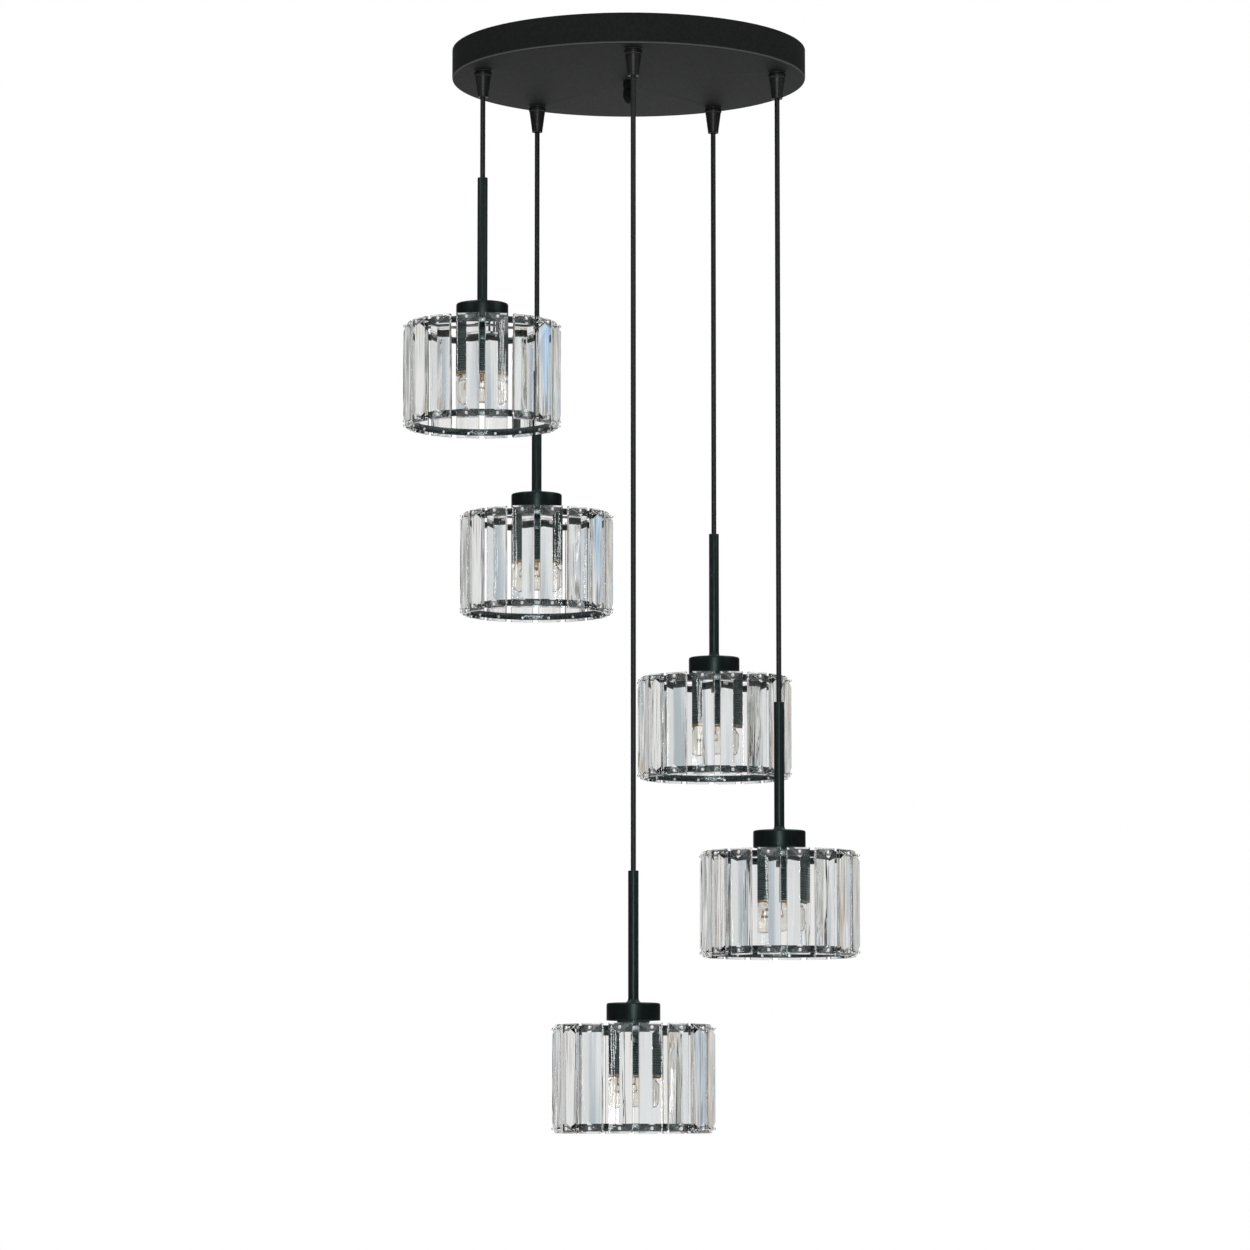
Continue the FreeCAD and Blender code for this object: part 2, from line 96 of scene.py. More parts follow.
def mesh_object(name, verts, faces, paint, angle=35.0, scale=MM):
    """Mesh from points in millimetres, or in metres at a scale of 1, smooth but for sharp edges."""
    mesh = bpy.data.meshes.new(name)
    mesh.from_pydata([Vector(v) * scale for v in verts], [], faces)
    bm = bmesh.new()
    bm.from_mesh(mesh)
    bmesh.ops.remove_doubles(bm, verts=bm.verts, dist=1e-7)
    bmesh.ops.recalc_face_normals(bm, faces=bm.faces)
    bm.to_mesh(mesh)
    bm.free()
    smooth(mesh, angle)
    mesh.materials.append(paint)
    return placed(name, mesh)


def smooth(mesh, angle):
    """Smooth shading, but for edges sharper than the angle in degrees."""
    mesh.shade_smooth()
    mesh.set_sharp_from_angle(angle=math.radians(angle))


def filleted(points, radius, steps=3, closed=False):
    """Outline with its corners rounded; radius is one number or one for each corner."""
    radii = radius if isinstance(radius, (list, tuple)) else [radius] * len(points)
    out = []
    for i, p in enumerate(points):
        p = Vector(p)
        r = radii[i]
        if r <= 0 or (not closed and i in (0, len(points) - 1)):
            out.append(tuple(p))
            continue
        before, after = Vector(points[i - 1]), Vector(points[(i + 1) % len(points)])
        a, b = (before - p), (after - p)
        reach = min(r, a.length * 0.45, b.length * 0.45)
        start, end = p + a.normalized() * reach, p + b.normalized() * reach
        for k in range(steps + 1):
            t = k / steps
            out.append(tuple(start * (1 - t) ** 2 + p * (2 * t * (1 - t)) + end * t ** 2))
    return out


def lathe(name, outline, paint, sides=64, closed=False, angle=35.0, shape=None):
    """Turned piece about Z from (radius, z) points; shape(radius, z, turn) may vary the radius round it."""
    verts, rings, faces = [], [], []
    for r, z in outline:
        if r < 1e-6:
            rings.append([len(verts)] * sides)
            verts.append((0, 0, z))
            continue
        rings.append(list(range(len(verts), len(verts) + sides)))
        for k in range(sides):
            a = 2 * math.pi * k / sides
            radius = shape(r, z, a) if shape else r
            verts.append((radius * math.cos(a), radius * math.sin(a), z))
    pairs = list(zip(rings, rings[1:])) + ([(rings[-1], rings[0])] if closed else [])
    for low, high in pairs:
        for k in range(sides):
            n = (k + 1) % sides
            corners = [low[k], low[n], high[n], high[k]]
            corners = [c for i, c in enumerate(corners) if c != corners[i - 1]]
            if len(corners) > 2:
                faces.append(corners)
    return mesh_object(name, verts, faces, paint, angle)


def threaded(name, top, bottom, core, crest, pitch, paint, sides=48, steps=8):
    """Helical thread with round crests and sharp roots, whose ends run out into the core."""
    rows = int((top - bottom) / pitch * steps)
    verts, faces = [], []
    for k in range(rows + 1):
        for j in range(sides):
            turn = j / sides
            z = top - (k / steps + turn) * pitch
            ease = min(1.0, (k + 0.5) / steps, (rows - k) / steps)
            r = core + (crest - core) * max(0.0, ease) * abs(math.cos(math.pi * k / steps))
            verts.append((r * math.cos(2 * math.pi * turn), r * math.sin(2 * math.pi * turn), z))
    for k in range(rows):
        for j in range(sides - 1):
            a = k * sides + j
            faces.append((a, a + 1, a + 1 + sides, a + sides))
        if k + 1 + steps <= rows:
            a = k * sides + sides - 1
            faces.append((a, (k + steps) * sides, (k + steps + 1) * sides, a + sides))
    return mesh_object(name, verts, faces, paint, 60)


def joined(name, *parts):
    """One object from several, with their materials kept."""
    bm = bmesh.new()
    materials = []
    for part in parts:
        mesh = part.data.copy()
        mesh.transform(part.matrix_basis)
        slots = []
        for m in mesh.materials:
            if m not in materials:
                materials.append(m)
            slots.append(materials.index(m))
        for poly in mesh.polygons:
            poly.material_index = slots[poly.material_index]
        bm.from_mesh(mesh)
        bpy.data.meshes.remove(mesh)
    mesh = mesh_from(name, bm)
    for m in materials:
        mesh.materials.append(m)
    for part in parts:
        bpy.data.objects.remove(part)
    return placed(name, mesh)


def block(name, low, high, paint, bevel=0.0):
    """Square-cornered block between two corners, with its edges rounded."""
    bm = bmesh.new()
    made = bmesh.ops.create_cube(bm, size=1.0)
    for v in made["verts"]:
        v.co = Vector([(low[i] + high[i]) / 2 + v.co[i] * (high[i] - low[i]) for i in range(3)]) * MM
    if bevel:
        bmesh.ops.bevel(bm, geom=bm.edges[:], offset=bevel * MM, segments=2, profile=0.5, affect="EDGES")
    mesh = mesh_from(name, bm)
    smooth(mesh, 40)
    mesh.materials.append(paint)
    return placed(name, mesh)


def cut(obj, *cutters):
    """Takes the cutters out of the piece and removes them."""
    for cutter in cutters:
        mod = obj.modifiers.new("cut", "BOOLEAN")
        mod.operation, mod.solver, mod.object = "DIFFERENCE", "EXACT", cutter
    bpy.context.view_layer.update()
    graph = bpy.context.evaluated_depsgraph_get()
    mesh = bpy.data.meshes.new_from_object(obj.evaluated_get(graph), depsgraph=graph)
    obj.modifiers.clear()
    obj.data = mesh
    for cutter in cutters:
        bpy.data.objects.remove(cutter)
    return obj


def rod(name, radius, low, high, paint, sides=32):
    """Plain cylinder along Z."""
    return lathe(name, [(0, low), (radius, low), (radius, high), (0, high)], paint, sides)


def tube(name, centres, radius, paint, sides=20):
    """Round tube along the points, which are in metres like its radius."""
    points = [Vector(c) for c in centres]
    verts, faces, rings = [], [], []
    side = Vector((0, 1, 0))
    for i, p in enumerate(points):
        along = (points[min(i + 1, len(points) - 1)] - points[max(i - 1, 0)]).normalized()
        u = along.cross(side)
        u = (u if u.length > 0.05 else along.cross(Vector((1, 0, 0)))).normalized()
        w = along.cross(u)
        rings.append(range(len(verts), len(verts) + sides))
        for k in range(sides):
            a = 2 * math.pi * k / sides
            verts.append(p + (u * math.cos(a) + w * math.sin(a)) * radius)
    for low, high in zip(rings, rings[1:]):
        for k in range(sides):
            n = (k + 1) % sides
            faces.append((low[k], low[n], high[n], high[k]))
    faces += [tuple(rings[0]), tuple(rings[-1])]
    return mesh_object(name, verts, faces, paint, 50, 1.0)


def spline_points(route, steps=8):
    """Points along the route's smooth line."""
    curve = bpy.data.curves.new("route", "CURVE")
    curve.dimensions, curve.resolution_u = "3D", steps
    line = curve.splines.new("NURBS")
    line.points.add(len(route) - 1)
    for point, place in zip(line.points, route):
        point.co = (*place, 1)
    line.order_u = 3
    line.use_endpoint_u = True
    obj = placed("route", curve)
    bpy.context.view_layer.update()
    mesh = bpy.data.meshes.new_from_object(obj)
    points = [v.co.copy() for v in mesh.vertices]
    bpy.data.objects.remove(obj)
    return points


# ------------------------------------------------------------ materials
class Nodes:
    """A node tree, with short ways to add nodes and link them."""

    def __init__(self, tree, coordinate):
        self.nodes, self.links = tree.nodes, tree.links
        self.place = self.node("TexCoord").outputs[coordinate]

    def node(self, kind, *linked, **values):
        """New node with outputs linked to its first inputs in turn, and values set by name."""
        node = self.nodes.new("ShaderNode" + kind)
        for key, value in values.items():
            socket = key.replace("_", " ")
            if socket in node.inputs:
                node.inputs[socket].default_value = value
            else:
                setattr(node, key, value)
        for index, output in enumerate(linked):
            self.links.new(output, node.inputs[index])
        return node

    def noise(self, scale, detail=3.0, stretch=None):
        place = self.node("Mapping", self.place, Scale=stretch).outputs["Vector"] if stretch else self.place
        return self.node("TexNoise", place, Scale=scale, Detail=detail).outputs["Fac"]

    def ramp(self, value, *stops):
        """Colour that goes through the stops with the value; a stop is a value and its colour."""
        node = self.node("ValToRGB", value)
        marks = node.color_ramp.elements
        while len(marks) < len(stops):
            marks.new(0.5)
        for mark, (at, colour) in zip(marks, stops):
            mark.position, mark.color = at, (*colour, 1)
        return node.outputs["Color"]

    def range(self, value, start, end, low=0.0, high=1.0):
        """Number that goes from low to high while the value goes from start to end."""
        node = self.node("MapRange", value, From_Min=start, From_Max=end, To_Min=low, To_Max=high)
        return node.outputs["Result"]

    def maths(self, operation, a, b):
        """Result of the operation on an output and a second output or a number."""
        node = self.node("Math", a, operation=operation)
        if isinstance(b, float):
            node.inputs[1].default_value = b
        else:
            self.links.new(b, node.inputs[1])
        return node.outputs["Value"]

    def mixed(self, share, a, b):
        return self.node("MixShader", share, a, b).outputs["Shader"]


class Paint(Nodes):
    """Material on a Principled shader, with procedural colour, roughness and relief."""

    def __init__(self, name, **settings):
        self.material = bpy.data.materials.new(name)
        self.material.use_nodes = True
        super().__init__(self.material.node_tree, "Object")
        self.shader = self.nodes["Principled BSDF"]
        for key, value in settings.items():
            self.shader.inputs[key.replace("_", " ")].default_value = value

    def blend(self, value, low, high):
        """Colour between low and high, by the middle of the value's range."""
        return self.ramp(value, (0.35, low), (0.65, high))

    def colour(self, output):
        self.links.new(output, self.shader.inputs["Base Color"])

    def roughness(self, value, low, high):
        self.links.new(self.range(value, 0.3, 0.7, low, high), self.shader.inputs["Roughness"])

    def relief(self, value, strength, distance):
        node = self.node("Bump", Strength=strength, Distance=distance)
        self.links.new(value, node.inputs["Height"])
        self.links.new(node.outputs["Normal"], self.shader.inputs["Normal"])

    def surface(self, output):
        self.links.new(output, self.nodes["Material Output"].inputs["Surface"])


def dull(name, low, high, rough, grain, depth, level=0.3, gleam=(1.0, 1.0, 1.0), with_painted_highlight=False):
    """Painted or moulded surface with a fine grain; gleam is the tint of its highlights."""
    p = Paint(name, Specular_IOR_Level=level, Specular_Tint=(*gleam, 1))
    colour = p.blend(p.noise(grain * 0.12, 4.0), low, high)
    # The canopy's paint can get a painted highlight: a paler band along its rounded lower edge.
    p.colour(painted_edge_highlight(p, colour) if with_painted_highlight else colour)
    p.roughness(p.noise(grain * 0.3), rough - 0.05, rough + 0.06)
    p.relief(p.noise(grain, 2.0), 0.5, depth)
    return p.material


def painted_edge_highlight(p, colour):
    """The canopy's colour with a painted highlight: paler along its rounded lower edge, where a lamp's gleam
    would show.
    """
    level = p.node("VectorMath", p.place, operation="MULTIPLY")
    level.inputs[1].default_value = (1, 1, 0)
    out = p.node("VectorMath", level.outputs["Vector"], operation="LENGTH").outputs["Value"]
    height = p.node("SeparateXYZ", p.place).outputs["Z"]
    # Thin band at the rounded lower edge, painted paler as a painted highlight rather than lit by a lamp.
    edge = p.maths("MULTIPLY", p.range(out, 0.1735, 0.1743), p.range(height, -0.0278, -0.0288))
    return p.node("MixRGB", edge, colour, Color2=(0.09, 0.094, 0.092, 1)).outputs["Color"]


def bright_metal(name, low, high, rough, stretch):
    """Metal with fine marks, drawn out along the axis where the stretch is small."""
    p = Paint(name, Metallic=1.0)
    p.colour(p.blend(p.noise(300, 4.0, stretch), low, high))
    p.roughness(p.noise(700, 3.0, stretch), rough - 0.06, rough + 0.1)
    p.relief(p.noise(900, 2.0, stretch), 0.2, 0.00002)
    return p.material


def clear_glass(name, tint, ior, striae, relief, shade):
    """Clear glass with faint upright striae; light for other pieces passes it without being bent."""
    p = Paint(name, Transmission_Weight=1.0, IOR=ior)
    p.colour(p.blend(p.noise(60, 2.0), [c * 0.985 for c in tint], tint))
    p.roughness(p.noise(180, 2.0), 0.0, 0.012)
    p.relief(p.noise(striae, 1.0, (1, 1, 0.04)), 0.8, relief)
    shadow = p.node("LightPath").outputs["Is Shadow Ray"]
    through = p.node("BsdfTransparent", Color=(shade, shade, shade, 1)).outputs["BSDF"]
    p.surface(p.mixed(shadow, p.shader.outputs["BSDF"], through))
    return p.material


TEAL = (0.68, 1.0, 0.97)
# Canopy paint, with a painted highlight along its rounded lower edge.
CANOPY_PAINT = dull("canopy_paint", (0.006, 0.0068, 0.0066), (0.010, 0.011, 0.0107), 0.70,
                    2600, 0.00006, 0.16, with_painted_highlight=True)
CAP_PAINT = dull("cap_paint", (0.0015, 0.002, 0.002), (0.003, 0.004, 0.004), 0.35,
                 2200, 0.00001, 0.4, TEAL)
STEM_PAINT = dull("stem_paint", (0.005, 0.0075, 0.008), (0.008, 0.012, 0.0125), 0.36,
                  2200, 0.00002, 0.4, TEAL)
BAND_PAINT = dull("band_paint", (0.004, 0.006, 0.0065), (0.008, 0.011, 0.012), 0.26,
                  1800, 0.00001, 1.0, (0.84, 0.98, 1.0))
GRIP_PLASTIC = dull("grip_plastic", (0.007, 0.008, 0.008), (0.012, 0.013, 0.013), 0.40,
                    2800, 0.00003, 0.4)
CORD_SHEATH = dull("cord_sheath", (0.008, 0.010, 0.0105), (0.013, 0.015, 0.016), 0.45,
                   1500, 0.000005, 0.35)
HOLDER_PLASTIC = dull("holder_plastic", (0.005, 0.009, 0.010), (0.009, 0.015, 0.017), 0.30,
                      2000, 0.000004, 1.0, TEAL)
BAKELITE = dull("rim_bakelite", (0.10, 0.055, 0.022), (0.42, 0.27, 0.13), 0.25, 3400, 0.00002, 0.6)
BLOCK_PLASTIC = dull("block_plastic", (0.62, 0.62, 0.58), (0.72, 0.72, 0.69), 0.5, 1500, 0.00003, 0.5)
ZINC = bright_metal("zinc_steel", (0.50, 0.51, 0.52), (0.62, 0.63, 0.64), 0.32, (1, 0.15, 1))
BRASS = bright_metal("socket_brass", (0.60, 0.44, 0.18), (0.74, 0.57, 0.27), 0.28, (1, 1, 0.3))
PIN_SILVER = bright_metal("pin_silver", (0.90, 0.91, 0.91), (0.96, 0.96, 0.96), 0.38, (1, 1, 1))
COPPER = bright_metal("lead_copper", (0.62, 0.33, 0.20), (0.78, 0.45, 0.28), 0.30, (1, 1, 1))
TUNGSTEN = bright_metal("coil_tungsten", (0.42, 0.41, 0.40), (0.55, 0.54, 0.52), 0.30, (1, 1, 1))
CRYSTAL_GLASS = clear_glass("crystal_glass", (0.985, 0.992, 0.990), 1.53, 230, 0.00012, 0.9)
BULB_GLASS = clear_glass("bulb_glass", (0.95, 0.93, 0.89), 1.47, 90, 0.0003, 0.92)


# ------------------------------------------------------------ where the pendants hang
def centre(node):
    """Middle of the node's box, in metres."""
    low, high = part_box(node)
    return (low + high) / 2


PLACES = [(centre(f"stem_{i}").x, centre(f"stem_{i}").y) for i in PENDANTS]
RIMS = [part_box(f"cap_{i}")[0].z for i in PENDANTS]


def stands_for(obj, body, node):
    """The piece moves with the body and takes the node's place."""
    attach(obj, body)
    if node:
        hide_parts(node)


def five(piece, node, body="pendant"):
    """The piece, drawn in a pendant's frame, at each of the five pendants."""
    for i, (x, y), rim in zip(PENDANTS, PLACES, RIMS):
        obj = placed(f"{piece.name}_{i}", piece.data)
        obj.location = (x, y, rim)
        stands_for(obj, f"{body}_{i}", node and f"{node}_{i}")
    bpy.data.objects.remove(piece)


# ------------------------------------------------------------ crystals and their pins
def pin_moves():
    """Where a crystal's two pins go: from +Z onto the band, pointing outwards."""
    lay = Matrix.Rotation(math.pi / 2, 4, "Y")
    return [Matrix.Translation(Vector((BAND_RADIUS, 0, z)) * MM) @ lay
            for z in (CRYSTAL_TOP - PIN_FROM_END, CRYSTAL_BOTTOM + PIN_FROM_END)]


def crystal_bar():
    """One bar: its flat back at the band, a ridge with hipped ends in front, drilled for its two pins."""
    half_w, middle = CRYSTAL_WIDTH / 2, (CRYSTAL_TOP + CRYSTAL_BOTTOM) / 2
    half_l = (CRYSTAL_TOP - CRYSTAL_BOTTOM) / 2
    signs = ((-1, -1), (1, -1), (1, 1), (-1, 1))
    bm = bmesh.new()

    def corner(out, w, h):
        return bm.verts.new(Vector((BAND_RADIUS + out, w, middle + h)) * MM)

    back = [corner(0, s * half_w, t * half_l) for s, t in signs]
    edge = [corner(CRYSTAL_EDGE, s * half_w, t * half_l) for s, t in signs]
    low, high = [corner(CRYSTAL_THICKNESS, 0, t * (half_l - END_BEVEL)) for t in (-1, 1)]
    bm.faces.new(back[::-1])
    for k in range(4):
        bm.faces.new((back[k - 1], back[k], edge[k], edge[k - 1]))
    for corners in ((edge[0], edge[1], low), (edge[1], edge[2], high, low),
                    (edge[2], edge[3], high), (edge[3], edge[0], low, high)):
        bm.faces.new(corners)
    bmesh.ops.recalc_face_normals(bm, faces=bm.faces)
    bmesh.ops.bevel(bm, geom=bm.edges[:], offset=0.2 * MM, segments=2, profile=0.5, affect="EDGES")
    mesh = mesh_from("crystal", bm)
    mesh.materials.append(CRYSTAL_GLASS)
    bar = placed("crystal", mesh)
    drills = []
    for move in pin_moves():
        drill = rod("drill", PIN_HOLE, -2, 14, CRYSTAL_GLASS, 20)
        drill.matrix_basis = move
        drills.append(drill)
    return cut(bar, *drills)


def pin():
    """Ball-headed pin along +Z, from inside the band to a crystal's end; its ball sits on the hole."""
    slope = (CRYSTAL_THICKNESS - CRYSTAL_EDGE) / END_BEVEL
    facet = CRYSTAL_EDGE + slope * PIN_FROM_END
    ball = facet + math.sqrt(PIN_HEAD ** 2 - PIN_HOLE ** 2) * math.sqrt(1 + slope ** 2)
    start = -math.acos(PIN_SHANK / PIN_HEAD)
    arc = [start + (math.pi / 2 - start) * k / 10 for k in range(11)]
    outline = [(0, -2.7), (1.2, -2.6), (1.45, -2.2), (1.3, -1.6), (PIN_SHANK, -1.5)]
    outline += [(PIN_HEAD * math.cos(a), ball + PIN_HEAD * math.sin(a)) for a in arc[:-1]]
    outline.append((0, ball + PIN_HEAD))
    return lathe("pin", outline, PIN_SILVER, 20, angle=50)


def ring_of(name, piece, moves):
    """Copies of the piece at every crystal's place in the shade, at each of the moves, as one object."""
    parts = []
    for k in range(CRYSTALS):
        for move in moves:
            copy = placed(name, piece.data)
            copy.matrix_basis = Matrix.Rotation(math.radians((k + 0.5) * 360 / CRYSTALS), 4, "Z") @ move
            parts.append(copy)
    whole = joined(name, *parts)
    bpy.data.objects.remove(piece)
    return whole


def crystals_and_pins():
    drops = ring_of("crystal_drops", crystal_bar(), [Matrix.Identity(4)])
    smooth(drops.data, 12)
    five(drops, "crystals")
    pins = ring_of("shade_pins", pin(), pin_moves())
    smooth(pins.data, 50)
    five(pins, None)


# ------------------------------------------------------------ bands, holder, bulb, cap and stem
def band_outline(top):
    """Section of a band below the height of its top."""
    inner, low = BAND_RADIUS - BAND_SHEET, top - BAND_HEIGHT
    return filleted([(BAND_RADIUS, top), (BAND_RADIUS, low), (inner, low), (inner, top)], 0.4, 2, True)


def bands():
    """Top band on its four arms and hub, and the plain lower band."""
    under = TOP_BAND - BAND_SHEET
    top = lathe("top_band", band_outline(TOP_BAND), BAND_PAINT, 192, True)
    hub = lathe("hub", filleted([(20.4, TOP_BAND), (20.4, under), (14.2, under), (14.2, TOP_BAND)],
                                0.3, 2, True), BAND_PAINT, 64, True)
    arms = []
    for k in range(4):
        arm = block("arm", (18.5, -4, under), (BAND_RADIUS - 0.8, 4, TOP_BAND), BAND_PAINT, 0.35)
        arm.matrix_basis = Matrix.Rotation(math.radians(90 * k), 4, "Z")
        arms.append(arm)
    upper = joined("top_band_spider", top, hub, *arms)
    smooth(upper.data, 35)
    five(upper, "top_ring")
    five(lathe("lower_band", band_outline(BOTTOM_BAND), BAND_PAINT, 192, True), "bottom_ring")


def holder():
    """Moulded holder: head, thread and amber rim, with the ribbed ring nut that clamps the shade."""
    head = lathe("head", filleted([(0, 8), (5.2, 8), (5.2, 15.4), (15.4, 15.4), (15.5, -6.1), (13.0, -6.2),
                                   (12.9, -51.3), (8.2, -51.3), (8.2, -27), (0, -27)], 0.4, 2),
                 HOLDER_PLASTIC, 64)
    rim = lathe("rim", filleted([(13.2, -51.3), (13.7, -51.6), (13.7, -53), (8.2, -53), (8.2, -51.3)],
                                0.3, 2, True), BAKELITE, 64, True)
    screw = threaded("screw", -8.0, -52.4, 13.0, 14.0, 2.25, HOLDER_PLASTIC, 64)
    whole = joined("ribbed_holder", head, screw, rim)
    smooth(whole.data, 45)
    five(whole, "lampholder")

    def grooved(r, z, turn):
        """36 upright grooves, 0.3 mm deep, in the nut's upper part."""
        return r - (0.3 * (0.5 - 0.5 * math.cos(36 * turn)) ** 2 if r > 15 and z > -14.4 else 0)

    nut = lathe("clamp_ring", filleted([(15.6, -7.8), (15.6, -14.2), (15.0, -14.5), (15.0, -14.9),
                                        (16.2, -15.2), (16.2, -21.1), (14.2, -21.1), (14.2, -7.8)],
                                       0.35, 3, True), HOLDER_PLASTIC, 216, True, 50, grooved)
    five(nut, "shade_nut")


def bulb():
    """Clear capsule with wall thickness, on a screw base, with a coil on its two leads inside."""
    outside = filleted([(6.4, -51.5), (6.6, -54.2), (10.9, -59.6), (11, -61), (11, -72.5), (9.6, -77.6),
                        (5.4, -81), (0, -81.4)], 1.6, 4)
    inside = filleted([(0, -80.3), (5.0, -79.9), (8.8, -76.8), (10.1, -72.2), (10.1, -61.3), (9.9, -60),
                       (5.7, -54.7), (5.5, -51.5)], 1.4, 4)
    glass = lathe("glass", outside + inside, BULB_GLASS, 64, True, 40)
    shell = threaded("shell", -28.6, -49.0, 6.0, 6.9, 2.8, BRASS, 40)
    base = lathe("base", filleted([(0, -27.95), (2.6, -28.1), (3.2, -29.4), (5.9, -30.6), (5.9, -48.8),
                                   (6.9, -49.6), (6.9, -52.6), (5.2, -53.0), (0, -53.0)], 0.4, 2),
                 BRASS, 40)
    stem = lathe("pinch", [(0, -52.5), (2.4, -52.8), (2.2, -57), (1.3, -60.5), (0.5, -61.5), (0, -61.6)],
                 BULB_GLASS, 24, angle=60)
    lead = ((1.2, -52.9), (1.3, -57), (2.8, -62), (3.6, -66.5))
    leads = [tube("lead", [Vector((side * x, 0, z)) * MM for x, z in lead], 0.32 * MM, COPPER, 8)
             for side in (-1, 1)]
    turns, steps, reach, wound, height = 14, 12, 3.6, 1.1, -66.5
    coil = tube("coil", [Vector((-reach + 2 * reach * k / (turns * steps),
                                 wound * math.sin(2 * math.pi * k / steps),
                                 height + wound * math.cos(2 * math.pi * k / steps))) * MM
                         for k in range(turns * steps + 1)], 0.16 * MM, TUNGSTEN, 6)
    whole = joined("clear_bulb", glass, base, shell, stem, *leads, coil)
    smooth(whole.data, 40)
    five(whole, "bulb", "bulb")


def cap_and_stem():
    """Flat cup over the holder's head, and the tube that widens into a foot on it."""
    cup = lathe("cap_cup", filleted([(25.5, 0), (25.5, CAP_HEIGHT), (5.2, CAP_HEIGHT), (5.2, 15.5),
                                     (24.5, 15.5), (24.5, 0)], [0.3, 2.2, 0.2, 0.2, 1.2, 0.3], 5, True),
                CAP_PAINT, 128, True)
    five(cup, "cap")
    pipe = lathe("thin_stem", filleted(
        [(5, STEM_TOP), (5, 20.4), (5.6, 18.3), (7.5, 16.9), (7.5, CAP_HEIGHT), (5, CAP_HEIGHT),
         (5, STEM_BOTTOM), (4, STEM_BOTTOM), (4, STEM_TOP - 7), (2.85, STEM_TOP - 6), (2.85, STEM_TOP)],
        [0.6, 2, 1.6, 0.2, 0.1, 0.1, 0.3, 0.3, 0.2, 0.2, 0.4], 3, True), STEM_PAINT, 48, True)
    five(pipe, "stem")


# ------------------------------------------------------------ cords
def cords():
    """Hanging cords, from the grip into the stem, each with a mesh of its own."""
    for i, (x, y), free in zip(PENDANTS, PLACES, FREE_CORDS):
        top, bottom = PIVOT * MM, (GRIP_MOUTH - free - CORD_IN_STEM) * MM
        points = spline_points([(x, y, top), (x, y, (top + bottom) / 2), (x, y, bottom)], 12)
        obj = tube(f"hanging_cord_{i}", points, CORD_DIAMETER / 2 * MM, CORD_SHEATH, 24)
        stands_for(obj, f"cord_{i}", f"cord_{i}")
        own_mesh(obj)


# ------------------------------------------------------------ canopy, grips and cap nut
def canopy():
    """Pan of bent sheet, with a hole for each grip and one for the stud."""
    inner = CANOPY_RADIUS - CANOPY_SHEET
    low, plate = -CANOPY_DEPTH, -CANOPY_DEPTH + CANOPY_SHEET
    radii = [0, 2.6, 0.5, 0.5, 1.8, 0]
    pan = lathe("canopy_pan", filleted([(0, low), (CANOPY_RADIUS, low), (CANOPY_RADIUS, 0), (inner, 0),
                                        (inner, plate), (0, plate)], radii, 5), CANOPY_PAINT, 256)
    drills = []
    for x, y, radius in [(*place, 5.05) for place in PLACES] + [(0, 0, STUD_HOLE)]:
        drill = rod("drill", radius, low - 2, plate + 2, CANOPY_PAINT)
        drill.location = (x, y, 0)
        drills.append(drill)
    pan = cut(pan, *drills)
    smooth(pan.data, 35)
    stands_for(pan, "canopy_body", "canopy")


def grips():
    """Tapered strain reliefs, each with its washer, through the canopy's holes."""
    base, mouth, top = -CANOPY_DEPTH, GRIP_MOUTH, -21.8
    grip = lathe("grip", filleted([
        (4.9, top), (4.9, base), (8.6, base), (8.6, base - 0.8), (8.1, base - 0.9), (8.1, base - 1.5),
        (8.5, base - 1.7), (8.5, base - 5.2), (7.9, base - 6.0), (5.3, mouth + 1.5), (5.3, mouth),
        (3.1, mouth), (2.85, mouth + 2), (2.85, top)], 0.35, 3, True), GRIP_PLASTIC, 48, True)
    parts = []
    for x, y in PLACES:
        copy = placed("grip", grip.data)
        copy.location = (x, y, 0)
        parts.append(copy)
    whole = joined("cord_grip_set", *parts)
    smooth(whole.data, 40)
    bpy.data.objects.remove(grip)
    stands_for(whole, "canopy_body", "cord_grips")


def from_flat(turn):
    """Cosine of the turn from the middle of the nearest of a hexagon's sides."""
    return math.cos((turn + math.pi / 6) % (math.pi / 3) - math.pi / 6)


def cap_nut():
    """Pointed hexagonal nut with a waist, under the middle of the canopy."""
    wide, low = 6.2, -CANOPY_DEPTH

    def six(r, z, turn):
        flat = r * math.cos(math.pi / 6) / from_flat(turn)
        return min(r, flat * 1.02) if r > 4.6 else r

    nut = lathe("cap_nut", filleted([
        (STUD_HOLE, low), (wide, low), (wide, low - 7), (4.9, low - 7), (4.9, low - 8.6), (wide, low - 8.6),
        (wide, low - 16.2), (5.0, low - 18.6), (3.0, low - 21.4), (1.2, low - 22.5), (0, low - 22.6)],
        [0, 0.5, 0.5, 0.2, 0.2, 0.5, 1.2, 1.2, 1.0, 0.6, 0], 3), CANOPY_PAINT, 96, False, 30, six)
    stands_for(nut, "canopy_nut", "canopy_nut")


# ------------------------------------------------------------ what the canopy hides
def hex_nut(name, across, low, high, hole):
    """Hexagonal nut with its corners chamfered by a cone at both ends."""
    flat, corner, edge = across / 2, across / 2 / math.cos(math.pi / 6), 0.9

    def six(r, z, turn):
        return min(r, flat / from_flat(turn)) if r > flat * 0.98 else r

    return lathe(name, [(hole, low + 0.5), (hole + 0.5, low), (flat, low), (corner, low + edge),
                        (corner, high - edge), (flat, high), (hole + 0.5, high), (hole, high - 0.5)],
                 ZINC, 72, True, 25, six)


